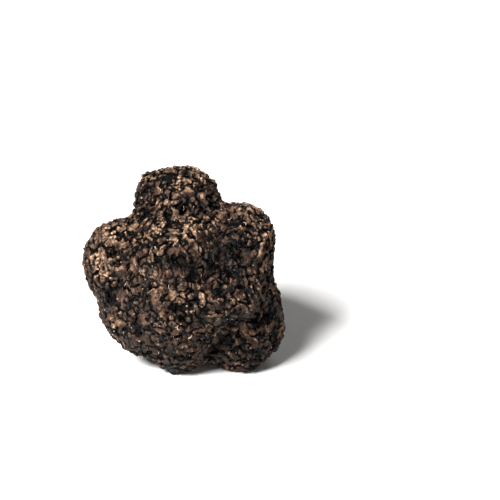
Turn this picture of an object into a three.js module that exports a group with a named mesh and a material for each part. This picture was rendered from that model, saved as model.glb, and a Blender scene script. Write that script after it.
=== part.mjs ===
// A black truffle: one fruiting body, about 55 mm across, as dug and brushed.
// It grew as a single solid, so it is one closed mesh. Lobes that run together give the body,
// furrows and hollows are pressed into it, and its whole skin is covered in angular warts.
//
// Millimetres, +Z up. The origin lies on the surface that the truffle rests on, under the
// middle of its bounding box. The two front feet face -Y, and the knob stands at the top.

import * as THREE from "three";
import { ConvexHull } from "three/addons/math/ConvexHull.js";

// The body
const CORE = new THREE.Vector3(0, 0, 22); // a point inside, from which all the skin can be seen
const FARTHEST_SKIN = 60; // no skin lies farther than this from the core
const CREASE_SOFTNESS = 1.3; // how gently one lobe runs into the next
const HALVINGS = 17; // steps of the search for the skin, the last under a thousandth of a millimetre
const NORMAL_STEP = 0.2; // how far to either side the slope of the skin is felt
const MARK_STEP = 1; // how closely a furrow's line follows the skin
const FOOT_FLAT = 1.8; // how much of each foot is pressed flat by its own weight

// The warts
const WART_SIZE = 1.63; // the least width of an ordinary wart, which mostly gets a third more
const WART_SIZE_CHANGE = 0.2; // the share by which that grows and shrinks over the body
const LEAST_WART = 0.75; // the smallest wart among its neighbours, as a share of an ordinary one
const MOST_WART = 1.55; // the largest, as such a share
const WART_RISE = 0.45; // tip above the mean skin
const WART_RISE_CHANGE = 0.5; // the share by which one wart may be lower or taller than the next
const GROOVE_DEPTH = 0.4; // bottom of the groove between warts, below the mean skin
const MOST_WEAR = 0.85; // the share of its height that a wart has lost in a worn patch
const FURROW_CLEAR = 0.55; // no wart stands nearer to a furrow's line than this share of its width
const WART_TRIES = 90000; // darts thrown at the body to find room for warts
const MOST_ROUNDS = 30; // passes over all the edges between warts, to turn the long ones
const SEED = 20741;

// Each lobe is an ellipsoid: its centre and its half sizes along X, Y and Z.
const LOBES = [
  { name: "front belly", centre: [1.5, -1, 23.5], half: [21, 20, 19.5] },
  { name: "under belly", centre: [6, -6, 12], half: [11, 9, 9.5] },
  { name: "back belly", centre: [2, 9, 22], half: [19, 17, 19] },
  { name: "neck", centre: [0, 3, 38.8], half: [13, 9.5, 8] },
  { name: "nape", centre: [-2, 13, 37.5], half: [11, 8, 8] },
  { name: "knob", centre: [-0.6, 10, 44.6], half: [10.8, 10.5, 8.2] },
  { name: "knob left corner", centre: [-7.5, 10, 47], half: [4.6, 5, 4.4] },
  { name: "knob shoulder", centre: [-9, 9, 42], half: [4.2, 5, 4.6] },
  { name: "brow", centre: [-1.5, -9, 34.5], half: [11, 9, 8.5] },
  { name: "ledge", centre: [9, -13.5, 24.5], half: [12, 7.5, 5] },
  { name: "left lobe", centre: [-16.8, 0, 29.2], half: [10.7, 12, 12] },
  { name: "lower left", centre: [-12.8, -3, 17], half: [10.5, 11, 10] },
  { name: "lower left belly", centre: [-9.8, -6, 11.8], half: [8.4, 8, 8] },
  { name: "right shoulder", centre: [15.4, 2, 35.2], half: [10.2, 11, 10] },
  { name: "right waist", centre: [16.4, 0, 26.5], half: [8.3, 8.5, 8] },
  { name: "lower right", centre: [18.2, -1, 16.5], half: [9, 11, 10.5] },
  { name: "right heel", centre: [19.8, -2, 9.8], half: [8.2, 8.5, 8.6] },
  { name: "front foot", centre: [-1.5, -8, 8.5], half: [7.5, 8, 9.2] },
  { name: "right foot", centre: [15.8, -7, 8.5], half: [8.2, 7.5, 9.2] },
  { name: "back foot", centre: [-1, 14, 8.7], half: [9, 8, 9.6] },
  { name: "back right lobe", centre: [13.5, 14, 21], half: [10.5, 9.5, 11] },
  { name: "back left lobe", centre: [-12, 14, 22], half: [10, 9.5, 12] },
];

// A furrow is a narrow fold between warts: it follows a line of points near the skin.
const FURROWS = [
  {
    name: "knob crease",
    width: 1,
    depth: 1.1,
    line: [[-10, 3, 48], [-3.5, 0.5, 49.5], [0, -1.5, 48], [5, -1, 47]],
  },
  {
    name: "foot of the knob",
    width: 1.3,
    depth: 1.4,
    line: [[-12, 1, 42], [-8.5, -0.5, 44], [-4, -2.5, 45], [0, -3, 45.5], [5.5, -2, 44.5], [11, 3, 44]],
  },
  {
    name: "seam of the left lobe",
    width: 1,
    depth: 1.1,
    line: [[-18.5, -7.5, 40], [-18, -13, 35], [-19, -14, 29], [-21, -12, 22]],
  },
  {
    name: "left side of the belly",
    width: 1.4,
    depth: 1.5,
    line: [[-9.5, -13.5, 40], [-5.5, -19, 37.5], [-9, -18.5, 33], [-13, -17, 27.5], [-13.5, -17, 19]],
  },
  {
    name: "hook under the brow",
    width: 1.1,
    depth: 1.3,
    line: [[-2.5, -16.5, 40.5], [-2, -18.5, 39], [-1, -19.5, 37.5], [3.5, -19.5, 36]],
  },
  {
    name: "arch under the ledge",
    width: 1,
    depth: 1.4,
    line: [[-2.5, -22.5, 22.5], [2, -23, 25], [5, -23, 26], [8, -23, 26], [11, -23, 24.5]],
  },
  {
    name: "cleft between the front feet",
    width: 1.7,
    depth: 2.4,
    line: [[16.5, -17, 18], [12, -18.5, 15], [10.5, -17.5, 10.5], [8.5, -16.5, 7]],
  },
  {
    name: "under the right shoulder",
    width: 1.2,
    depth: 1.5,
    line: [[10.5, -7.5, 41], [14, -8.5, 41], [20, -7, 41]],
  },
  {
    name: "long fold of the back",
    width: 1.5,
    depth: 1.8,
    line: [[-14, 8, 38], [-8, 20, 33], [0, 25, 26], [3, 25, 16], [8, 21, 7]],
  },
  {
    name: "side fold of the back",
    width: 1.3,
    depth: 1.4,
    line: [[24, 5, 30], [22, 13, 27], [14, 22, 28], [4, 22, 34]],
  },
];

// A hollow is a broad dip.
const HOLLOWS = [
  { name: "basin", width: 5.5, depth: 2.2, line: [[12, -12.5, 34.5], [8, -17.5, 33]] },
  { name: "dimple of the back", width: 4.5, depth: 1.8, line: [[-5, 22, 14], [-9, 20, 10]] },
];

// Here the warts are rubbed almost flat.
const WORN_PATCHES = [
  { name: "above the basin", width: 2.8, line: [[7.5, -11.5, 38.5], [10.5, -9, 39]] },
  { name: "middle of the belly", width: 2.4, line: [[-3.5, -20, 35.5], [-3.5, -21, 33.5]] },
  { name: "right heel", width: 2.2, line: [[21, -10, 24]] },
  { name: "back of the left lobe", width: 2.6, line: [[-20, 8, 30]] },
];

// Slow waves make one area's warts finer than another's: how far each wave turns in a
// millimetre along X, Y and Z, and the angle at which it starts, both in radians.
const WAVES = [
  { turn: new THREE.Vector3(0.21, 0, 0), start: 1.3 },
  { turn: new THREE.Vector3(0, 0.24, 0.1), start: -0.6 },
  { turn: new THREE.Vector3(0.12, 0, 0.19), start: 0 },
];

// A repeatable random number from 0 to 1, the mulberry32 rule.
function randomFrom(seed) {
  let state = seed;
  return () => {
    state = (state + 0x6d2b79f5) | 0;
    let t = Math.imul(state ^ (state >>> 15), 1 | state);
    t = (t + Math.imul(t ^ (t >>> 7), 61 | t)) ^ t;
    return ((t ^ (t >>> 14)) >>> 0) / 4294967296;
  };
}

// Roughly how far a point is outside one ellipsoid, negative inside it.
function outsideLobe(point, lobe) {
  const [x, y, z] = point.toArray().map((value, i) => value - lobe.centre[i]);
  const [a, b, c] = lobe.half;
  const scaled = Math.hypot(x / a, y / b, z / c);
  const steepness = Math.hypot(x / (a * a), y / (b * b), z / (c * c));
  return steepness > 0 ? (scaled * (scaled - 1)) / steepness : -Math.min(a, b, c);
}

// The body's field: zero on the bare skin, negative inside. All lobes run together softly.
function outsideBody(point) {
  let sum = 0;
  for (const lobe of LOBES) sum += Math.exp(-outsideLobe(point, lobe) / CREASE_SOFTNESS);
  return -CREASE_SOFTNESS * Math.log(sum);
}

// The point of the bare skin in a direction from the core, found by halving.
function skinToward(direction) {
  const point = new THREE.Vector3();
  let inside = 0;
  let outside = FARTHEST_SKIN;
  for (let step = 0; step < HALVINGS; step++) {
    const middle = (inside + outside) / 2;
    point.copy(direction).multiplyScalar(middle).add(CORE);
    if (outsideBody(point) < 0) inside = middle;
    else outside = middle;
  }
  return point;
}

// The outward normal of the bare skin.
function normalAt(point) {
  const slope = ["x", "y", "z"].map((axis) => {
    const ahead = point.clone();
    const behind = point.clone();
    ahead[axis] += NORMAL_STEP;
    behind[axis] -= NORMAL_STEP;
    return outsideBody(ahead) - outsideBody(behind);
  });
  return new THREE.Vector3(...slope).normalize();
}

// A mark's points, joined in a smooth line and laid on the bare skin.
function layOnSkin(mark) {
  const points = mark.line.map((xyz) => new THREE.Vector3(...xyz));
  const curve = points.length > 1 ? new THREE.CatmullRomCurve3(points) : null;
  const path = curve ? curve.getSpacedPoints(Math.ceil(curve.getLength() / MARK_STEP)) : points;
  return { ...mark, path: path.map((point) => skinToward(point.sub(CORE).normalize())) };
}
const furrows = FURROWS.map(layOnSkin);
const hollows = HOLLOWS.map(layOnSkin);
const wornPatches = WORN_PATCHES.map(layOnSkin);

// How far a point of the skin is from a mark's line, as a share of the mark's width.
function apartFrom(point, { path, width }) {
  const stretch = new THREE.Line3(path[0]);
  const nearest = new THREE.Vector3();
  let apart = point.distanceTo(path[0]);
  for (let i = 1; i < path.length; i++) {
    stretch.set(path[i - 1], path[i]);
    stretch.closestPointToPoint(point, true, nearest);
    apart = Math.min(apart, point.distanceTo(nearest));
  }
  return apart / width;
}

// A bell curve: 1 on the line, 0.37 a width away and nearly 0 at two widths.
const bell = (apart) => Math.exp(-apart * apart);

// How deep the furrows and hollows press the skin in at a point.
function pressedIn(point) {
  let depth = 0;
  for (const mark of [...furrows, ...hollows]) depth += mark.depth * bell(apartFrom(point, mark));
  return depth;
}

// How much of a wart's height is left at a point: 1 on fresh skin, little where it is worn.
function heightLeft(point) {
  const worn = Math.max(...wornPatches.map((mark) => bell(apartFrom(point, mark))));
  return 1 - MOST_WEAR * worn;
}

// The mean of the slow waves at a point, from -1 to 1.
function slowWave(point) {
  const waves = WAVES.map(({ turn, start }) => Math.sin(point.dot(turn) + start));
  return waves.reduce((sum, wave) => sum + wave) / waves.length;
}

const random = randomFrom(SEED);

// Wart tips: darts thrown in random directions, each with a wart's size, kept where no tip is
// too near. Small warts fill the room between large ones.
function placeTips() {
  const cell = WART_SIZE * MOST_WART * (1 + WART_SIZE_CHANGE);
  const cells = new Map();
  const keyOf = (i, j, k) => `${i},${j},${k}`;
  const tips = [];
  for (let dart = 0; dart < WART_TRIES; dart++) {
    const up = 2 * random() - 1;
    const turn = 2 * Math.PI * random();
    const around = Math.sqrt(1 - up * up);
    const direction = new THREE.Vector3(around * Math.cos(turn), around * Math.sin(turn), up);
    const point = skinToward(direction);
    const share = LEAST_WART + (MOST_WART - LEAST_WART) * random();
    const size = WART_SIZE * share * (1 + WART_SIZE_CHANGE * slowWave(point));
    const [i, j, k] = point.toArray().map((value) => Math.floor(value / cell));
    let free = furrows.every((furrow) => apartFrom(point, furrow) > FURROW_CLEAR);
    for (let a = i - 1; free && a <= i + 1; a++)
      for (let b = j - 1; free && b <= j + 1; b++)
        for (let c = k - 1; free && c <= k + 1; c++)
          for (const other of cells.get(keyOf(a, b, c)) ?? [])
            if (other.point.distanceTo(point) < (other.size + size) / 2) free = false;
    if (!free) continue;
    const key = keyOf(i, j, k);
    const tip = { point, direction, size };
    cells.set(key, [...(cells.get(key) ?? []), tip]);
    tips.push(tip);
  }
  return tips;
}

// Neighbouring tips joined in triangles: the hull of their directions, seen from the core.
function joinTips(tips) {
  const directions = tips.map((tip) => tip.direction);
  const numberOf = new Map(directions.map((direction, i) => [direction, i]));
  const hull = new ConvexHull().setFromPoints(directions);
  return hull.faces.map((face) => {
    const corners = [];
    let edge = face.edge;
    do {
      corners.push(numberOf.get(edge.head().point));
      edge = edge.next;
    } while (edge !== face.edge);
    return corners;
  });
}

// The angle of a triangle at its corner, in radians.
function angleAt(corner, a, b) {
  return a.clone().sub(corner).angleTo(b.clone().sub(corner));
}

// Turns an edge shared by two triangles wherever the other diagonal suits the real skin better.
function turnLongEdges(triangles, tips) {
  const at = (i) => tips[i].point;
  let turned = true;
  for (let round = 0; turned && round < MOST_ROUNDS; round++) {
    turned = false;
    const owner = new Map();
    triangles.forEach((corners, number) =>
      corners.forEach((a, i) => owner.set(`${a},${corners[(i + 1) % 3]}`, number)),
    );
    const changed = new Set();
    for (const [key, first] of owner) {
      const [a, b] = key.split(",").map(Number);
      const second = owner.get(`${b},${a}`);
      if (a > b || changed.has(first) || changed.has(second)) continue;
      const c = triangles[first].find((corner) => corner !== a && corner !== b);
      const d = triangles[second].find((corner) => corner !== a && corner !== b);
      if (owner.has(`${c},${d}`) || owner.has(`${d},${c}`)) continue;
      if (angleAt(at(c), at(a), at(b)) + angleAt(at(d), at(a), at(b)) <= Math.PI) continue;
      triangles[first] = [a, d, c];
      triangles[second] = [d, b, c];
      changed.add(first).add(second);
      turned = true;
    }
  }
}

// The skin: each wart is a low pyramid. Its tip stands on the tip's point, and its corners lie
// in the grooves, one for every three neighbouring warts and nearest to the smallest of them.
function skinGeometry() {
  const tips = placeTips();
  const triangles = joinTips(tips);
  turnLongEdges(triangles, tips);

  const vertices = tips.map(({ point }) => {
    const rise = WART_RISE * (1 + WART_RISE_CHANGE * (2 * random() - 1));
    const height = rise * heightLeft(point) - pressedIn(point);
    return point.clone().addScaledVector(normalAt(point), height);
  });
  const grooveOf = triangles.map((corners) => {
    const middle = new THREE.Vector3();
    let weights = 0;
    for (const corner of corners) {
      const { point: tip, size } = tips[corner];
      middle.addScaledVector(tip, 1 / size);
      weights += 1 / size;
    }
    const direction = middle.divideScalar(weights).sub(CORE).normalize();
    const point = skinToward(direction);
    const sink = GROOVE_DEPTH * heightLeft(point) + pressedIn(point);
    vertices.push(point.addScaledVector(normalAt(point), -sink));
    return vertices.length - 1;
  });

  const owner = new Map();
  triangles.forEach((corners, number) =>
    corners.forEach((a, i) => owner.set(`${a},${corners[(i + 1) % 3]}`, number)),
  );
  const faces = [];
  for (const [key, left] of owner) {
    const [a, b] = key.split(",").map(Number);
    faces.push([a, grooveOf[owner.get(`${b},${a}`)], grooveOf[left]]);
  }

  const geometry = new THREE.BufferGeometry().setFromPoints(vertices);
  geometry.setIndex(faces.flat());
  return geometry;
}

// Moves the body onto its feet: the lowest stretch of each foot is pressed flat at Z = 0,
// and the bounding box is centred over the origin.
function settle(geometry) {
  geometry.computeBoundingBox();
  geometry.translate(0, 0, -geometry.boundingBox.min.z - FOOT_FLAT);
  const position = geometry.getAttribute("position");
  for (let i = 0; i < position.count; i++) position.setZ(i, Math.max(position.getZ(i), 0));
  geometry.computeBoundingBox();
  const middle = geometry.boundingBox.getCenter(new THREE.Vector3());
  return geometry.translate(-middle.x, -middle.y, 0);
}

const skin = new THREE.MeshStandardMaterial({ color: "#2e231d", roughness: 0.75, metalness: 0 });
const truffle = new THREE.Mesh(settle(skinGeometry()), skin);
truffle.name = "fruiting_body";

const part = new THREE.Group();
part.name = "black_truffle";
part.add(truffle);

export default part;
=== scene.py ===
# %% [markdown]
# # A black truffle
# A black truffle is the fruiting body of a fungus that grows underground. It has no stem and no
# cap: it is one lobed lump, and its skin, the peridium, is broken up into small hard warts.
# This lesson takes the plain model of the truffle as a frame and gives it a fine skin, with soil
# dust, grains of sand and scraps of rootlets still on it, as on a truffle that was dug up and
# brushed. All lengths are in metres, so `MM` turns a size in millimetres into one that fits.

# %% The frame
import math

import bmesh
import bpy
import numpy as np
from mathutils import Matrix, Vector


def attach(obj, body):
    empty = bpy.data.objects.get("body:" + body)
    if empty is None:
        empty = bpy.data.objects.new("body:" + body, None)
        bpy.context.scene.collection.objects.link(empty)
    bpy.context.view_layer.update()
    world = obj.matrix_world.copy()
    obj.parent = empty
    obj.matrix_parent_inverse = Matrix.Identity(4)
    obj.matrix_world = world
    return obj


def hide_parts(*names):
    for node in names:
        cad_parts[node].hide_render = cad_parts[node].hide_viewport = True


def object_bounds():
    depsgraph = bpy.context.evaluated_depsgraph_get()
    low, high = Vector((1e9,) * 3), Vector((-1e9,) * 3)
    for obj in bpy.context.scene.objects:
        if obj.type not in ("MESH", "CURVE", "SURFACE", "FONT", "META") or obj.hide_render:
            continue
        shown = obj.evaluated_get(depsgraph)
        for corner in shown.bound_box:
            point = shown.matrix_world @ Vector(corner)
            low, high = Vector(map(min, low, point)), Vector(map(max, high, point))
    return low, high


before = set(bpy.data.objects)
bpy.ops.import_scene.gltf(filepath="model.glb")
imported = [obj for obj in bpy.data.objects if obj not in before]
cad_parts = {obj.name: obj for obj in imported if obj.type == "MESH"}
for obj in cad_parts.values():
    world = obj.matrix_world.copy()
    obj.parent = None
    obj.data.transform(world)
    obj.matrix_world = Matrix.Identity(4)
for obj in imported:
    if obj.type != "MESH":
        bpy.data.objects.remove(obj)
cad_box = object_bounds()
MM = 0.001
truffle_size = cad_box[1] - cad_box[0]
print("truffle", [round(side / MM, 1) for side in truffle_size], "mm")

# %% [markdown]
# ## Small helpers
# Colours are picked as sRGB hex values, the way a colour picker gives them, but a shader works in
# linear light, so one function turns them. Another adds a node to any tree, with its settings and
# its links in one go, which keeps the trees below short enough to read. A third makes an object.

# %% Helpers


def colour(hex_code):
    """A linear RGBA colour from an sRGB hex code."""
    channels = [int(hex_code[i : i + 2], 16) / 255 for i in (1, 3, 5)]
    linear = [c / 12.92 if c <= 0.04045 else ((c + 0.055) / 1.055) ** 2.4 for c in channels]
    return (*linear, 1.0)


def add(tree, kind, inputs=None, **settings):
    """Adds a node. Each input takes a value, or another node's output or first output."""
    node = tree.nodes.new(kind)
    for name, value in settings.items():
        setattr(node, name, value)
    for name, value in (inputs or {}).items():
        if isinstance(value, bpy.types.Node):
            value = value.outputs[0]
        if isinstance(value, bpy.types.NodeSocket):
            tree.links.new(value, node.inputs[name])
        else:
            node.inputs[name].default_value = value
    return node


def new_piece(name, mesh):
    """An object at the origin, unturned, with its place in its mesh."""
    piece = bpy.data.objects.new(name, mesh)
    bpy.context.scene.collection.objects.link(piece)
    return piece


print("helpers ready")

# %% [markdown]
# ## Camera, light and floor
# The photograph looks down on the truffle from the front, about 25 degrees above the surface, with
# a long lens. One broad softbox hangs above and to the left, so every wart has a lit side and a
# dark one. A weak fill from the right keeps the furrows from going quite black, and a weak light
# from behind draws the edge. The floor is a sheet of matt paper, wide enough to fill the view.

# %% Camera
CAMERA_ELEVATION = math.radians(25)
CAMERA_DISTANCE = 400 * MM
CAMERA_TARGET = Vector((18.1, 0, 31.3)) * MM
HALF_VIEW = 0.1719  # tangent of half the angle of view
SENSOR = 36  # millimetres, Blender's own unit for a lens
NEAREST = 10 * MM

camera_data = bpy.data.cameras.new("camera")
camera_data.sensor_width = SENSOR
camera_data.lens = SENSOR / 2 / HALF_VIEW
camera_data.clip_start = NEAREST
camera = bpy.data.objects.new("camera", camera_data)
bpy.context.scene.collection.objects.link(camera)
back = Vector((0, -math.cos(CAMERA_ELEVATION), math.sin(CAMERA_ELEVATION)))
camera.location = CAMERA_TARGET + back * CAMERA_DISTANCE
camera.rotation_mode = "QUATERNION"
camera.rotation_quaternion = (-back).to_track_quat("-Z", "Y")
bpy.context.scene.camera = camera
print("lens", round(camera_data.lens, 1), "mm")

# %% Light
SOFTBOXES = {
    # places and sides in millimetres, power in watts
    "key": {"place": (-330, -300, 520), "side": 280, "power": 14.2},
    "fill": {"place": (500, -500, 300), "side": 500, "power": 0.5},
    "rim": {"place": (100, 600, 350), "side": 400, "power": 1.0},
}
ROOM_LIGHT = 0.07  # strength of the light from all round

for name, box in SOFTBOXES.items():
    light_data = bpy.data.lights.new(name, "AREA")
    light_data.size = box["side"] * MM
    light_data.energy = box["power"]
    light = bpy.data.objects.new(name, light_data)
    light.location = Vector(box["place"]) * MM
    light.rotation_mode = "QUATERNION"
    light.rotation_quaternion = light.location.to_track_quat("Z", "Y")
    bpy.context.scene.collection.objects.link(light)

world = bpy.data.worlds.new("studio")
bpy.context.scene.world = world
world.use_nodes = True
world.node_tree.nodes["Background"].inputs["Color"].default_value = colour("#ffffff")
world.node_tree.nodes["Background"].inputs["Strength"].default_value = ROOM_LIGHT
bpy.context.scene.view_settings.view_transform = "Standard"
print(len(SOFTBOXES), "softboxes")

# %% Floor
FLOOR_HALF = 3.0  # metres
PAPER_WHITE = colour("#f4f3f1")
PAPER_ROUGHNESS = 0.9

floor_mesh = bpy.data.meshes.new("floor")
corners = [(-FLOOR_HALF, -FLOOR_HALF, 0), (FLOOR_HALF, -FLOOR_HALF, 0)]
corners += [(FLOOR_HALF, FLOOR_HALF, 0), (-FLOOR_HALF, FLOOR_HALF, 0)]
floor_mesh.from_pydata(corners, [], [(0, 1, 2, 3)])
floor = new_piece("floor", floor_mesh)
# Uncoated paper: it takes a soft shadow and mirrors nothing.
paper = bpy.data.materials.new("matt white paper")
paper.use_nodes = True
paper.node_tree.nodes["Principled BSDF"].inputs["Base Color"].default_value = PAPER_WHITE
paper.node_tree.nodes["Principled BSDF"].inputs["Roughness"].default_value = PAPER_ROUGHNESS
floor_mesh.materials.append(paper)
print("floor", 2 * FLOOR_HALF, "m wide")

# %% [markdown]
# ## A fine copy of the skin
# On the plain model each wart is a low pyramid: one tip, and a ring of corners down in the grooves
# that it shares with its neighbours. The copy is merged into one skin first. Then the tips are
# told from the grooves: every triangle has exactly one tip, so from one tip, known to be the
# highest point of all, a step across each groove finds the next. Two attributes are kept. One is
# the height on the wart, 1 at a tip and 0 in a groove. The other is how far the wart rises: about
# 1 for a fresh wart and near 0 where the skin is worn. When every triangle is cut into sixteen,
# both are spread evenly over the new points, so all later shaping can ask for them.

# %% Tips and grooves
CUTS = 3  # new points along each edge
MERGE = 0.001 * MM
FRESH_RISE = 0.85 * MM  # a fresh wart's tip above the grooves round it


def wart_tips(skin):
    """The set of all vertices that are tips of warts."""
    top = max(skin.verts, key=lambda vert: vert.co.z)
    tips = {top}
    waiting = [top]
    while waiting:
        tip = waiting.pop()
        for face in tip.link_faces:
            groove = next(edge for edge in face.edges if tip not in edge.verts)
            for beyond in groove.link_faces:
                other = next(vert for vert in beyond.verts if vert not in groove.verts)
                if other not in tips:
                    tips.add(other)
                    waiting.append(other)
    return tips


skin = bmesh.new()
skin.from_mesh(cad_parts["fruiting_body"].data)
bmesh.ops.remove_doubles(skin, verts=skin.verts, dist=MERGE)
height = skin.verts.layers.float.new("wart_height")
rise = skin.verts.layers.float.new("wart_rise")
tips = wart_tips(skin)
for tip in tips:
    tip[height] = 1.0
    ring = [edge.other_vert(tip).co for edge in tip.link_edges]
    tip[rise] = (tip.co - sum(ring, Vector()) / len(ring)).dot(tip.normal) / FRESH_RISE
for groove in set(skin.verts) - tips:
    around = [edge.other_vert(groove) for edge in groove.link_edges]
    rises = [vert[rise] for vert in around if vert in tips]
    groove[rise] = sum(rises) / len(rises)
print(len(tips), "warts on", len(skin.faces), "triangles")

# %% Sixteen triangles for one
bmesh.ops.subdivide_edges(skin, edges=skin.edges, cuts=CUTS, use_grid_fill=True)
bmesh.ops.triangulate(skin, faces=skin.faces)
skin_mesh = bpy.data.meshes.new("peridium")
skin.to_mesh(skin_mesh)
skin.free()
peridium = new_piece("peridium", skin_mesh)
print(len(skin_mesh.polygons), "triangles in the fine skin")

# %% [markdown]
# ## Where the soil clings
# Soil isn't spread evenly: it stays where the truffle last lay in it, and it rubs off ridges and
# out of smooth hollows. Each place below is found on the skin by its bearing, in degrees from the
# front towards the viewer's right, and by its height, in degrees above the level of the middle.
# It has a radius in millimetres and holds so much more or less soil than the rest. The sum is
# stored on every point as an attribute, which the skin's colour and the crumbs of soil follow.

# %% Soil map
MIDDLE = np.array([0, 0, 22])  # millimetres
SOIL_PLACES = [
    # name, bearing, height, radius, amount
    ("upper left lobe", -60, 30, 6, 0.07),
    ("middle of the left lobe", -60, 15, 4, 0.08),
    ("crest of the left lobe", -65, 45, 3, 0.08),
    ("seam of the left lobe", -45, 30, 4.5, -0.06),
    ("left brow", -30, 55, 3.5, 0.22),
    ("left of the belly", -30, 30, 5, 0.05),
    ("right brow", 5, 60, 4.5, 0.18),
    ("knob", -120, 80, 3.5, 0.1),
    ("back of the knob", 170, 70, 5, 0.12),
    ("edge of the right shoulder", 70, 35, 3.5, 0.24),
    ("right waist", 75, 15, 2.5, 0.08),
    ("ridge under the basin", 40, 10, 2.5, 0.14),
    ("ledge", -5, 15, 5, 0.1),
    ("lower left", -55, -15, 2.5, 0.12),
    ("front foot", -15, -30, 5, 0.04),
    ("right foot", 50, -35, 3.5, 0.06),
    ("back left lobe", -135, 10, 7, 0.16),
    ("back right lobe", 145, 5, 6, 0.1),
    ("back of the neck", 175, 40, 5, 0.08),
    ("basin", 40, 40, 5, -0.4),
    ("below the basin", 40, 25, 4, -0.16),
    ("worn plate of the belly", -5, 35, 3.5, -0.22),
    ("hook", 15, 35, 3, -0.14),
    ("island", -25, 15, 3, -0.12),
    ("left valley", -60, 0, 3, -0.2),
    ("lower left fold", -35, -15, 4, -0.08),
    ("foot of the knob", -85, 65, 3.5, -0.2),
    ("right of the knob", 75, 80, 3.5, -0.16),
    ("right heel", 55, 0, 6, -0.12),
    ("cleft", 30, -35, 4, -0.16),
]
places = np.empty(len(skin_mesh.vertices) * 3)
skin_mesh.vertices.foreach_get("co", places)
places = places.reshape(-1, 3) / MM
rays = places - MIDDLE
rays /= np.linalg.norm(rays, axis=1, keepdims=True)
soil = np.zeros(len(places))
for name, bearing, elevation, radius, amount in SOIL_PLACES:
    turn, tilt = np.radians([bearing, elevation])
    toward = [np.sin(turn) * np.cos(tilt), -np.cos(turn) * np.cos(tilt), np.sin(tilt)]
    middle = places[np.argmax(rays @ toward)]
    apart = np.linalg.norm(places - middle, axis=1) / radius
    soil += amount * np.exp(-(apart**2))
skin_mesh.attributes.new("soil", "FLOAT", "POINT").data.foreach_set("value", soil)
print(len(SOIL_PLACES), "places, soil from", round(soil.min(), 2), "to", round(soil.max(), 2))

# %% [markdown]
# ## The shape of a wart
# A real wart is no pyramid. Its flanks are steep, its top is flat or a little sunk, it runs
# together with its neighbours in places, and the whole skin is crumpled and creased. Sculpting two
# thousand warts isn't sensible, and a displacement texture would need an image, so a Geometry
# Nodes tree moves the points by a rule. It first blurs the pyramids' edges and shifts the points
# to and fro, so that no straight line is left. Then it adds four heights: the wart's profile,
# drawn as a curve over its height, broad lumps, narrow folds cut into the skin, and small crumbs.

# %% Peridium tree
SEED = 4.0
FOLD_SIZE = 2.4 * MM
SKIN_SIZES = {
    "Wart height": 0.2 * MM,
    "Warp size": 1.9 * MM,
    "Warp length": 1.4 * MM,
    "Lump size": 3.0 * MM,
    "Lump height": 1.3 * MM,
    "Fold size": FOLD_SIZE,
    "Fold depth": 0.9 * MM,
    "Crumb size": 0.6 * MM,
    "Crumb height": 0.08 * MM,
}
tree = bpy.data.node_groups.new("warts of the peridium", "GeometryNodeTree")
tree.interface.new_socket("Geometry", in_out="INPUT", socket_type="NodeSocketGeometry")
for name, size in SKIN_SIZES.items():
    socket = tree.interface.new_socket(name, in_out="INPUT", socket_type="NodeSocketFloat")
    socket.default_value = size
tree.interface.new_socket("Seed", in_out="INPUT", socket_type="NodeSocketFloat")
tree.interface.new_socket("Material", in_out="INPUT", socket_type="NodeSocketMaterial")
tree.interface.new_socket("Geometry", in_out="OUTPUT", socket_type="NodeSocketGeometry")
given = add(tree, "NodeGroupInput").outputs
place = add(tree, "GeometryNodeInputPosition")
print(len(SKIN_SIZES), "sizes")

# %% Rounded skin and its outward direction
BLUR_PLACE = 5  # steps of about a third of a millimetre
BLUR_NORMAL = 9

rounded = add(
    tree,
    "GeometryNodeBlurAttribute",
    {"Value": place, "Iterations": BLUR_PLACE, "Weight": 1.0},
    data_type="FLOAT_VECTOR",
)
rounded_skin = add(
    tree, "GeometryNodeSetPosition", {"Geometry": given["Geometry"], "Position": rounded}
)
smooth_normal = add(
    tree,
    "GeometryNodeBlurAttribute",
    {"Value": add(tree, "GeometryNodeInputNormal"), "Iterations": BLUR_NORMAL, "Weight": 1.0},
    data_type="FLOAT_VECTOR",
)
outward = add(tree, "ShaderNodeVectorMath", {0: smooth_normal}, operation="NORMALIZE")
with_outward = add(
    tree,
    "GeometryNodeStoreNamedAttribute",
    {"Geometry": rounded_skin, "Name": "outward", "Value": outward},
    data_type="FLOAT_VECTOR",
    domain="POINT",
)
print("rounding over", BLUR_PLACE, "steps")

# %% Noises that the skin's relief follows
FOLD_DETAIL = 1.6
RELIEF_NOISES = {
    # name: the input that holds its size, its detail, the output used
    "warp": ("Warp size", 1.0, "Color"),
    "merging": ("Lump size", 1.0, "Fac"),
    "folds": ("Fold size", FOLD_DETAIL, "Fac"),
    "lumps": ("Lump size", 2.0, "Fac"),
    "crumbs": ("Crumb size", 2.0, "Fac"),
}
noises = {}
for name, (size, detail, output) in RELIEF_NOISES.items():
    scale = add(tree, "ShaderNodeMath", {0: 1.0, 1: given[size]}, operation="DIVIDE")
    inputs = {"Vector": place, "W": given["Seed"], "Scale": scale, "Detail": detail}
    noise = add(tree, "ShaderNodeTexNoise", inputs, noise_dimensions="4D")
    noises[name] = noise.outputs[output]
print(len(noises), "noises")

# %% Points shifted to and fro
HALF = (0.5, 0.5, 0.5)  # the middle value of a random colour

warp = add(tree, "ShaderNodeVectorMath", {0: noises["warp"], 1: HALF}, operation="SUBTRACT")
warp_shift = add(
    tree, "ShaderNodeVectorMath", {0: warp, "Scale": given["Warp length"]}, operation="SCALE"
)
warped = add(tree, "GeometryNodeSetPosition", {"Geometry": with_outward, "Offset": warp_shift})
print("shifted by up to", round(SKIN_SIZES["Warp length"] / 2 / MM, 1), "mm on each axis")

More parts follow.
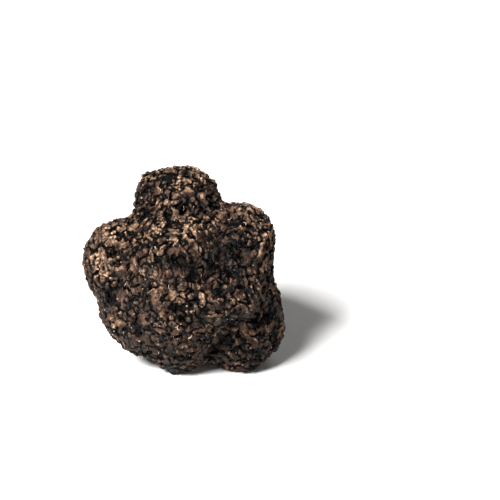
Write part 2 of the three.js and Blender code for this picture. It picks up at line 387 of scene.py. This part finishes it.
# %% Heights that go up and down about zero
MERGING = 2.2  # how far neighbouring warts run together in places
SPREADS = {
    # name of the noise: the whole height from its lowest to its highest value
    "merging": MERGING,
    "lumps": given["Lump height"],
    "folds": 2.0,
    "crumbs": given["Crumb height"],
}
heights = {}
for name, whole in SPREADS.items():
    about_zero = add(tree, "ShaderNodeMath", {0: noises[name], 1: 0.5}, operation="SUBTRACT")
    heights[name] = add(tree, "ShaderNodeMath", {0: about_zero, 1: whole}, operation="MULTIPLY")
print(len(heights), "heights")

# %% Profile of a wart
PROFILE = [(0, 0), (0.12, 0.06), (0.3, 0.62), (0.48, 0.94), (0.68, 1), (0.84, 0.9), (1, 0.7)]

wart_height = add(
    tree, "GeometryNodeInputNamedAttribute", {"Name": "wart_height"}, data_type="FLOAT"
)
uneven = add(tree, "ShaderNodeMath", {0: wart_height, 1: heights["merging"]}, operation="ADD")
profile = add(tree, "ShaderNodeFloatCurve", {"Value": uneven})
curve = profile.mapping.curves[0]
curve.points[0].location = PROFILE[0]
curve.points[1].location = PROFILE[-1]
for x, y in PROFILE[1:-1]:
    curve.points.new(x, y)
profile.mapping.update()
profile_moved = add(tree, "ShaderNodeMath", {0: profile, 1: 0.5}, operation="SUBTRACT")
warts = add(
    tree, "ShaderNodeMath", {0: profile_moved, 1: given["Wart height"]}, operation="MULTIPLY"
)
print(len(PROFILE), "points on the profile")

# %% Folds cut into the skin
FOLD_WIDTH = 0.22  # how far a fold's flank reaches, as a share of the noise's half height

fold_away = add(tree, "ShaderNodeMath", {0: heights["folds"]}, operation="ABSOLUTE")
fold = add(tree, "ShaderNodeMapRange", {"Value": fold_away, "From Max": FOLD_WIDTH})
fold_down = add(tree, "ShaderNodeMath", {0: fold, 1: 1.0}, operation="SUBTRACT")
fold_cut = add(
    tree, "ShaderNodeMath", {0: fold_down, 1: given["Fold depth"]}, operation="MULTIPLY"
)
print("folds", round(SKIN_SIZES["Fold depth"] / MM, 1), "mm deep")

# %% [markdown]
# ## All the relief, and where it fades
# The four heights are added up. Where the skin is worn, the relief is low, and just above the
# floor it fades out, because the truffle's own weight presses its feet flat. The relief and the
# place before the move are stored, so that the material can paint shade into the same folds that
# are cut here. Raised in full, the relief would make the outline rougher than a real truffle's, so
# only a share of it is raised, and the rest shows as painted shade in the depths.

# %% Total relief
FREE_HEIGHT = 1 * MM  # below this the relief fades out

total = warts
for part in (heights["lumps"], fold_cut, heights["crumbs"]):
    total = add(tree, "ShaderNodeMath", {0: total, 1: part}, operation="ADD")
wart_rise = add(
    tree, "GeometryNodeInputNamedAttribute", {"Name": "wart_rise"}, data_type="FLOAT"
)
above_floor = add(tree, "ShaderNodeSeparateXYZ", {"Vector": place}).outputs["Z"]
free = add(tree, "ShaderNodeMapRange", {"Value": above_floor, "From Max": FREE_HEIGHT})
worn = add(tree, "ShaderNodeMath", {0: wart_rise, 1: free}, operation="MULTIPLY")
worn_total = add(tree, "ShaderNodeMath", {0: total, 1: worn}, operation="MULTIPLY")
in_millimetres = add(tree, "ShaderNodeMath", {0: worn_total, 1: MM}, operation="DIVIDE")
with_relief = add(
    tree,
    "GeometryNodeStoreNamedAttribute",
    {"Geometry": warped, "Name": "relief", "Value": in_millimetres},
    data_type="FLOAT",
    domain="POINT",
)
with_place = add(
    tree,
    "GeometryNodeStoreNamedAttribute",
    {"Geometry": with_relief, "Name": "place_before", "Value": place},
    data_type="FLOAT_VECTOR",
    domain="POINT",
)
print("relief ready")

# %% Moved skin, kept above the floor
RAISED_SHARE = 0.65

raised = add(tree, "ShaderNodeMath", {0: worn_total, 1: RAISED_SHARE}, operation="MULTIPLY")
along = add(
    tree, "GeometryNodeInputNamedAttribute", {"Name": "outward"}, data_type="FLOAT_VECTOR"
)
shift = add(tree, "ShaderNodeVectorMath", {0: along, "Scale": raised}, operation="SCALE")
moved = add(tree, "GeometryNodeSetPosition", {"Geometry": with_place, "Offset": shift})
apart_place = add(tree, "ShaderNodeSeparateXYZ", {"Vector": place}).outputs
not_below = add(tree, "ShaderNodeMath", {0: apart_place["Z"], 1: 0.0}, operation="MAXIMUM")
lifted = add(
    tree, "ShaderNodeCombineXYZ", {"X": apart_place["X"], "Y": apart_place["Y"], "Z": not_below}
)
resting = add(tree, "GeometryNodeSetPosition", {"Geometry": moved, "Position": lifted})
smooth = add(tree, "GeometryNodeSetShadeSmooth", {"Geometry": resting, "Shade Smooth": True})
real = add(tree, "GeometryNodeRealizeInstances", {"Geometry": smooth})
dressed = add(
    tree, "GeometryNodeSetMaterial", {"Geometry": real, "Material": given["Material"]}
)
add(tree, "NodeGroupOutput", {"Geometry": dressed})
print(len(tree.nodes), "nodes in the tree")

# %% [markdown]
# ## The bare skin
# The peridium is horny and nearly black, with a warm brown showing through in spots. Where it
# faces up, a cool grey is mixed in, in spots, as a painted sheen that stands for the softbox's
# reflection. In the folds, in the lines between the warts and where the relief is deepest, a
# near-black is mixed in as painted shade. Painting it by hand would need an image, so noises mix
# its colours. The folds are the same noise, at the same places, as those cut by the tree above.

# %% Peridium material
# Near-black painted shade, for the folds, the lines between warts and the deepest relief.
PAINTED_GROOVE_SHADE = colour("#020202")
SKIN_BLACK = colour("#241e1c")
SKIN_BROWN = colour("#45362d")
# A cool grey painted sheen, standing for the softbox's reflection on upward-facing skin.
PAINTED_SHEEN = colour("#34383a")
SKIN_NOISES = {
    # name: size, detail
    "mottle": (1.8 * MM, 4.0),
    "painted_sheen": (2.6 * MM, 3.0),
    "patches": (6 * MM, 2.0),
    "speckle": (2.2 * MM, 6.0),
    "dust tint": (0.7 * MM, 3.0),
    "grain": (0.7 * MM, 4.0),
}

# Dried horn-like skin: very dark, with a low gloss where it is bare and none under the soil.
# Its colour also holds painted shade in the depths and a painted sheen where it faces up.
peridium_look = bpy.data.materials.new("horny black peridium with soil dust")
peridium_look.use_nodes = True
look = peridium_look.node_tree
shader = look.nodes["Principled BSDF"]
at = add(look, "ShaderNodeTexCoord").outputs["Object"]
relief = add(look, "ShaderNodeAttribute", attribute_name="relief").outputs["Fac"]
soil_here = add(look, "ShaderNodeAttribute", attribute_name="soil").outputs["Fac"]
facing = add(look, "ShaderNodeAttribute", attribute_name="outward").outputs["Vector"]
before = add(look, "ShaderNodeAttribute", attribute_name="place_before").outputs["Vector"]
upward = add(look, "ShaderNodeSeparateXYZ", {"Vector": facing}).outputs["Z"]
spots = {}
for name, (size, detail) in SKIN_NOISES.items():
    inputs = {"Vector": at, "Scale": 1 / size, "Detail": detail}
    spots[name] = add(look, "ShaderNodeTexNoise", inputs).outputs[0]
print(len(spots), "noises in the skin's colour")

# %% Brown and painted sheen
# Each span says from what value on a colour shows, and at what value it is full.
BROWN_SPAN = {"From Min": 0.45, "From Max": 0.65}
PAINTED_SHEEN_SPAN = {"From Min": 0.56, "From Max": 0.7, "To Max": 0.4}
PAINTED_SHEEN_UPWARD = {"From Min": -0.3, "From Max": 0.7}

brownness = add(look, "ShaderNodeMapRange", {"Value": spots["mottle"], **BROWN_SPAN})
brown = add(
    look, "ShaderNodeMix", {0: brownness, 6: SKIN_BLACK, 7: SKIN_BROWN}, data_type="RGBA"
)
# Painted sheen: the cool grey goes in, in spots, where the skin faces up.
painted_sheen_spots = add(look, "ShaderNodeMapRange", {"Value": spots["painted_sheen"], **PAINTED_SHEEN_SPAN})
painted_sheen_side = add(look, "ShaderNodeMapRange", {"Value": upward, **PAINTED_SHEEN_UPWARD})
painted_sheen = add(look, "ShaderNodeMath", {0: painted_sheen_spots, 1: painted_sheen_side}, operation="MULTIPLY")
skin_with_painted_sheen = add(
    look, "ShaderNodeMix", {0: painted_sheen, 6: brown.outputs[2], 7: PAINTED_SHEEN}, data_type="RGBA"
)
print("brown and bloom ready")

# %% Folds, and lines between the warts
CELL_SIZE = 2.4 * MM
CELL_LINE = 0.3  # how far a line's flank reaches, as a share of a cell

fold_inputs = {"Vector": before, "W": SEED, "Scale": 1 / FOLD_SIZE, "Detail": FOLD_DETAIL}
fold_noise = add(look, "ShaderNodeTexNoise", fold_inputs, noise_dimensions="4D")
fold_side = add(look, "ShaderNodeMath", {0: fold_noise, 1: 0.5}, operation="SUBTRACT")
doubled = add(look, "ShaderNodeMath", {0: fold_side, 1: 2.0}, operation="MULTIPLY")
from_fold = add(look, "ShaderNodeMath", {0: doubled}, operation="ABSOLUTE")
folds = add(look, "ShaderNodeMapRange", {"Value": from_fold, "From Max": FOLD_WIDTH})

cells = {"Vector": before, "Scale": 1 / CELL_SIZE}
cell_edge = add(look, "ShaderNodeTexVoronoi", cells, feature="DISTANCE_TO_EDGE")
cell_lines = add(look, "ShaderNodeMapRange", {"Value": cell_edge, "From Max": CELL_LINE})
print("lines", round(CELL_SIZE / MM, 1), "mm apart")

# %% Painted shade in the depths
DEPTH_SPAN = {"From Min": -0.6, "From Max": -0.35}  # millimetres of relief, from full painted shade to none
FOLD_SPAN = {"From Min": 0.0, "From Max": 0.5}
LINE_SPAN = {"From Min": -0.5, "From Max": 0.55}  # a line's painted shade is never quite black

# Painted shade: near-black where the relief is deep, in the folds and along the lines between
# warts.
out_of_folds = add(look, "ShaderNodeMapRange", {"Value": folds, **FOLD_SPAN})
out_of_lines = add(look, "ShaderNodeMapRange", {"Value": cell_lines, **LINE_SPAN})
out_of_both = add(
    look, "ShaderNodeMath", {0: out_of_folds, 1: out_of_lines}, operation="MULTIPLY"
)
out_of_depths = add(look, "ShaderNodeMapRange", {"Value": relief, **DEPTH_SPAN})
out_of_painted_shade = add(look, "ShaderNodeMath", {0: out_of_depths, 1: out_of_both}, operation="MULTIPLY")
bare_with_painted_shade_and_sheen = add(
    look, "ShaderNodeMix", {0: out_of_painted_shade, 6: PAINTED_GROOVE_SHADE, 7: skin_with_painted_sheen.outputs[2]}, data_type="RGBA"
)
print("bare skin ready")

# %% [markdown]
# ## Soil dust
# Dry soil clings to the truffle in two ways: a thin brown film that dulls the skin, and, where
# more of it lies, thicker pale dust. Both could be painted by hand. Here both follow one sum, so
# that dust always lies inside film: patches a few warts wide, a finer speckle, a little more where
# the skin faces up, and the soil map. The share for facing up is partly painted shade, as it
# leaves the down-facing lower skin darker. Neither gets into the folds.

# %% Film and dust
FILM = colour("#573e30")
DUST = colour("#84654f")
DUST_PALE = colour("#d8b492")
PATCH_SHARE = 0.6  # how much the patches count beside the speckle
SOIL_AND_SHADE_BY_FACING = {"From Min": -0.6, "From Max": 0.9, "To Max": 0.16}
FILM_SPAN = {"From Min": 0.67, "From Max": 0.92, "To Max": 0.85}  # of the sum
DUST_SPAN = {"From Min": 0.89, "From Max": 1.15}

# More soil on upward-facing skin, which also paints shade onto the down-facing lower skin.
soil_and_shade_by_facing = add(look, "ShaderNodeMapRange", {"Value": upward, **SOIL_AND_SHADE_BY_FACING})
soil_sum = add(
    look, "ShaderNodeMath", {0: spots["patches"], 1: PATCH_SHARE}, operation="MULTIPLY"
)
for part in (spots["speckle"], soil_and_shade_by_facing, soil_here):
    soil_sum = add(look, "ShaderNodeMath", {0: soil_sum, 1: part}, operation="ADD")
film_wanted = add(look, "ShaderNodeMapRange", {"Value": soil_sum, **FILM_SPAN})
film = add(look, "ShaderNodeMath", {0: film_wanted, 1: out_of_painted_shade}, operation="MULTIPLY")
dust_wanted = add(look, "ShaderNodeMapRange", {"Value": soil_sum, **DUST_SPAN})
dust = add(look, "ShaderNodeMath", {0: dust_wanted, 1: out_of_painted_shade}, operation="MULTIPLY")
print("film and dust ready")

# %% Colour of the whole skin
PALE_SPAN = {"From Min": 0.44, "From Max": 0.66}

filmed = add(
    look, "ShaderNodeMix", {0: film, 6: bare_with_painted_shade_and_sheen.outputs[2], 7: FILM}, data_type="RGBA"
)
paleness = add(look, "ShaderNodeMapRange", {"Value": spots["dust tint"], **PALE_SPAN})
dust_colour = add(
    look, "ShaderNodeMix", {0: paleness, 6: DUST, 7: DUST_PALE}, data_type="RGBA"
)
finished = add(
    look,
    "ShaderNodeMix",
    {0: dust, 6: filmed.outputs[2], 7: dust_colour.outputs[2]},
    data_type="RGBA",
)
look.links.new(finished.outputs[2], shader.inputs["Base Color"])
print("skin coloured")

# %% [markdown]
# ## Gloss and the finest relief
# Bare horn has a low gloss and soil has none, so the film sets the roughness. What is too small
# for the mesh, or would make the outline rough, is left to a bump: a fine grain, the edges of the
# folds and lines, and facets. The skin is split into facets about as wide as a wart, and each
# leans its own way, which gives the crumpled look. The lean is the random colour of the facet's
# cell, read as a direction, times the way from the cell's middle.

# %% Facets
LEAN = 4.5  # how strongly each facet leans

cell = add(look, "ShaderNodeTexVoronoi", cells)
random_lean = add(
    look, "ShaderNodeVectorMath", {0: cell.outputs["Color"], 1: HALF}, operation="SUBTRACT"
)
from_middle = add(
    look, "ShaderNodeVectorMath", {0: before, 1: cell.outputs["Position"]}, operation="SUBTRACT"
)
lean = add(
    look, "ShaderNodeVectorMath", {0: random_lean, 1: from_middle}, operation="DOT_PRODUCT"
)
facets = add(
    look, "ShaderNodeMath", {0: lean.outputs["Value"], 1: LEAN / MM}, operation="MULTIPLY"
)
print("facets ready")

# %% Gloss and bump
BARE_ROUGHNESS = 0.5
HORN_GLOSS = 0.17
GRAIN_SHARE = 0.7
BUMP_HEIGHT = 1.1 * MM

roughness = add(look, "ShaderNodeMapRange", {"Value": film, "To Min": BARE_ROUGHNESS})
look.links.new(roughness.outputs[0], shader.inputs["Roughness"])
shader.inputs["Specular IOR Level"].default_value = HORN_GLOSS
finest = add(look, "ShaderNodeMath", {0: spots["grain"], 1: GRAIN_SHARE}, operation="MULTIPLY")
for part in (folds, cell_lines, facets):
    finest = add(look, "ShaderNodeMath", {0: finest, 1: part}, operation="ADD")
bump = add(
    look, "ShaderNodeBump", {"Height": finest, "Strength": 1.0, "Distance": BUMP_HEIGHT}
)
look.links.new(bump.outputs[0], shader.inputs["Normal"])
print(len(look.nodes), "nodes in the skin's material")

# %% [markdown]
# ## The skin made plain
# A modifier is only a recipe until it is evaluated. The function below sets the tree's inputs,
# evaluates the piece once and keeps the result as an ordinary mesh, which an export can use.

# %% Peridium


def with_tree(piece, tree, inputs):
    """Runs a Geometry Nodes tree on a piece and gives back the result as a plain mesh."""
    modifier = piece.modifiers.new("tree", "NODES")
    modifier.node_group = tree
    for item in tree.interface.items_tree:
        if item.item_type == "SOCKET" and item.in_out == "INPUT" and item.name in inputs:
            modifier[item.identifier] = inputs[item.name]
    graph = bpy.context.evaluated_depsgraph_get()
    mesh = bpy.data.meshes.new_from_object(piece.evaluated_get(graph))
    piece.modifiers.remove(modifier)
    return mesh


fine_mesh = with_tree(peridium, tree, {"Seed": SEED, "Material": peridium_look, **SKIN_SIZES})
peridium.data = fine_mesh
peridium.data.name = "peridium"
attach(peridium, "root")
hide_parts("fruiting_body")
print(len(fine_mesh.polygons), "triangles in the finished skin")

# %% [markdown]
# ## Soil crumbs, sand and rootlets
# A dug truffle keeps a little of its ground: crumbs of dry soil between the warts, grains of quartz
# sand that glint, and scraps of fine rootlets. All three are small things scattered over the skin,
# so one kind of tree makes them: it throws points on the finished skin, sets a copy of a small
# shape on each, turned and sized at random, and makes the copies real, because an export drops
# instances. Each kind keeps its own shape, number, size and material.

# %% Scatter tree
CLEARANCE = 1.5 * MM  # nothing clings lower than this, so nothing is pushed into the floor
SOIL_RANGE = 0.2  # the amount in the soil map at which the numbers below are reached
FEWEST, MOST = 0.3, 1.7  # times the usual number
SMALLEST, LARGEST = 0.5, 1.5  # times the usual size
SCATTER_INPUTS = {
    "Geometry": "Geometry",
    "Density": "Float",
    "Size": "Float",
    "Seed": "Int",
    "Material": "Material",
}


def scatter_tree(name, shape_of, flat=False):
    """A tree that scatters copies of a shape over a skin. Flat ones lie along it."""
    tree = bpy.data.node_groups.new(name, "GeometryNodeTree")
    for socket, kind in SCATTER_INPUTS.items():
        tree.interface.new_socket(socket, in_out="INPUT", socket_type=f"NodeSocket{kind}")
    tree.interface.new_socket("Geometry", in_out="OUTPUT", socket_type="NodeSocketGeometry")
    given = add(tree, "NodeGroupInput").outputs
    soil = add(tree, "GeometryNodeInputNamedAttribute", {"Name": "soil"}, data_type="FLOAT")
    soil_span = {"From Min": -SOIL_RANGE, "From Max": SOIL_RANGE}
    number_span = {"To Min": FEWEST, "To Max": MOST}
    more = add(tree, "ShaderNodeMapRange", {"Value": soil, **soil_span, **number_span})
    place = add(tree, "GeometryNodeInputPosition")
    above_floor = add(tree, "ShaderNodeSeparateXYZ", {"Vector": place}).outputs["Z"]
    free = add(
        tree, "ShaderNodeMath", {0: above_floor, 1: CLEARANCE}, operation="GREATER_THAN"
    )
    wanted = add(tree, "ShaderNodeMath", {0: more, 1: given["Density"]}, operation="MULTIPLY")
    density = add(tree, "ShaderNodeMath", {0: wanted, 1: free}, operation="MULTIPLY")
    points = add(
        tree,
        "GeometryNodeDistributePointsOnFaces",
        {"Mesh": given["Geometry"], "Density": density, "Seed": given["Seed"]},
    )
    full_turns = (0, 0, math.tau) if flat else (math.tau, math.tau, math.tau)
    turn = add(
        tree,
        "FunctionNodeRandomValue",
        {0: (0, 0, 0), 1: full_turns, "Seed": given["Seed"]},
        data_type="FLOAT_VECTOR",
    )
    rotation = turn
    if flat:
        rotation = add(
            tree,
            "FunctionNodeRotateRotation",
            {"Rotation": points.outputs["Rotation"], "Rotate By": turn},
            rotation_space="LOCAL",
        )
    scale = add(
        tree,
        "FunctionNodeRandomValue",
        {0: (SMALLEST,) * 3, 1: (LARGEST,) * 3, "Seed": given["Seed"]},
        data_type="FLOAT_VECTOR",
    )
    shape = shape_of(tree, given["Size"])
    copies = add(
        tree,
        "GeometryNodeInstanceOnPoints",
        {"Points": points, "Instance": shape, "Rotation": rotation, "Scale": scale},
    )
    real = add(tree, "GeometryNodeRealizeInstances", {"Geometry": copies})
    dressed = add(
        tree, "GeometryNodeSetMaterial", {"Geometry": real, "Material": given["Material"]}
    )
    add(tree, "NodeGroupOutput", {"Geometry": dressed})
    return tree


print("scatter tree ready")

# %% [markdown]
# ## Three small shapes
# Each shape is copied many times and is only a few pixels wide, so it has few faces. A crumb is a
# ball of twenty faces with its corners pushed in or out unevenly, a grain of sand is the same ball
# left even, and a rootlet is a short arc swept with a five-sided ring.

# %% Small shapes
CRUMB_PITCH = 1.5  # dents across a crumb
CRUMB_CORE = 0.4  # the least share of its radius that a corner keeps
ROOTLET_WIDTH = 0.13 * MM
ROOTLET_POINTS = 9  # along it
ROOTLET_SIDES = 5  # round it
BEND_RADIUS = 0.8  # times a rootlet's length
BEND_START, BEND_SWEEP = -0.62, 1.25  # radians


def crumb_of_soil(tree, size):
    """A knobbly lump of 20 faces."""
    half = add(tree, "ShaderNodeMath", {0: size, 1: 0.5}, operation="MULTIPLY")
    ball = add(tree, "GeometryNodeMeshIcoSphere", {"Radius": half, "Subdivisions": 1})
    place = add(tree, "GeometryNodeInputPosition")
    pitch = add(tree, "ShaderNodeMath", {0: CRUMB_PITCH, 1: size}, operation="DIVIDE")
    dents = add(tree, "ShaderNodeTexNoise", {"Vector": place, "Scale": pitch})
    shrink = add(tree, "ShaderNodeMath", {0: dents, 1: CRUMB_CORE}, operation="ADD")
    moved = add(tree, "ShaderNodeVectorMath", {0: place, "Scale": shrink}, operation="SCALE")
    return add(tree, "GeometryNodeSetPosition", {"Geometry": ball, "Position": moved})


def grain_of_sand(tree, size):
    """A worn crystal of 20 faces."""
    half = add(tree, "ShaderNodeMath", {0: size, 1: 0.5}, operation="MULTIPLY")
    return add(tree, "GeometryNodeMeshIcoSphere", {"Radius": half, "Subdivisions": 1})


def rootlet(tree, size):
    """A thin bent thread, closed at its ends. Its size is its length."""
    radius = add(tree, "ShaderNodeMath", {0: size, 1: BEND_RADIUS}, operation="MULTIPLY")
    bend = {"Radius": radius, "Start Angle": BEND_START, "Sweep Angle": BEND_SWEEP}
    arc = add(tree, "GeometryNodeCurveArc", {"Resolution": ROOTLET_POINTS, **bend})
    back = add(tree, "ShaderNodeMath", {0: radius, 1: -1.0}, operation="MULTIPLY")
    to_middle = add(tree, "ShaderNodeCombineXYZ", {"X": back, "Z": ROOTLET_WIDTH})
    centred = add(tree, "GeometryNodeTransform", {"Geometry": arc, "Translation": to_middle})
    round_it = {"Resolution": ROOTLET_SIDES, "Radius": ROOTLET_WIDTH / 2}
    ring = add(tree, "GeometryNodeCurvePrimitiveCircle", round_it)
    sweep = {"Curve": centred, "Profile Curve": ring, "Fill Caps": True}
    return add(tree, "GeometryNodeCurveToMesh", sweep)


print("three shapes ready")

# %% [markdown]
# ## What the small things are made of
# Loam, quartz and bark are all plain stuff that varies a little in colour from one spot to the
# next, so one function makes all three from two colours, the size of a spot and a roughness.

# %% Materials of what clings
TINT_SPAN = {"From Min": 0.4, "From Max": 0.6}
UNEVENNESS = 0.8  # strength of the bump


def cling_material(name, first, second, spot, roughness):
    """A material that varies between two colours, and is uneven, over the size of a spot."""
    material = bpy.data.materials.new(name)
    material.use_nodes = True
    tree = material.node_tree
    shader = tree.nodes["Principled BSDF"]
    at = add(tree, "ShaderNodeTexCoord").outputs["Object"]
    spread = add(tree, "ShaderNodeTexNoise", {"Vector": at, "Scale": 1 / spot, "Detail": 3.0})
    factor = add(tree, "ShaderNodeMapRange", {"Value": spread, **TINT_SPAN})
    tint = add(tree, "ShaderNodeMix", {0: factor, 6: first, 7: second}, data_type="RGBA")
    dents = {"Height": spread, "Strength": UNEVENNESS, "Distance": spot / 4}
    bump = add(tree, "ShaderNodeBump", dents)
    tree.links.new(tint.outputs[2], shader.inputs["Base Color"])
    tree.links.new(bump.outputs[0], shader.inputs["Normal"])
    shader.inputs["Roughness"].default_value = roughness
    return material


# Dry loam: fully rough, so it never glints beside the horny skin.
loam = cling_material("dry brown loam", colour("#5c4637"), colour("#a5846a"), 0.5 * MM, 0.95)
# Quartz sand: pale and smooth, so each grain catches one small light.
quartz = cling_material("pale quartz sand", colour("#b9a48e"), colour("#efe6da"), 0.8 * MM, 0.25)
# Dead rootlets: straw coloured and dull.
straw = cling_material("dry rootlet bark", colour("#8a6a50"), colour("#d6b898"), 1.2 * MM, 0.8)
print("three materials ready")

# %% Scattered pieces
PER_SQUARE_METRE = 1e6  # one for every square millimetre
SCATTERED = [
    # name, shape, lies flat, number on a square millimetre, size, seed, material
    ("soil_crumbs", crumb_of_soil, False, 0.015, 0.6 * MM, 11, loam),
    ("sand_grains", grain_of_sand, False, 0.01, 0.25 * MM, 12, quartz),
    ("rootlets", rootlet, True, 0.006, 1.6 * MM, 13, straw),
]
for name, shape_of, flat, number, size, seed, material in SCATTERED:
    piece = new_piece(name, fine_mesh.copy())
    inputs = {"Density": number * PER_SQUARE_METRE, "Size": size, "Seed": seed}
    inputs["Material"] = material
    mesh = with_tree(piece, scatter_tree(name, shape_of, flat), inputs)
    piece.data = mesh
    mesh.name = name
    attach(piece, "root")
    print(name, len(mesh.polygons), "faces")
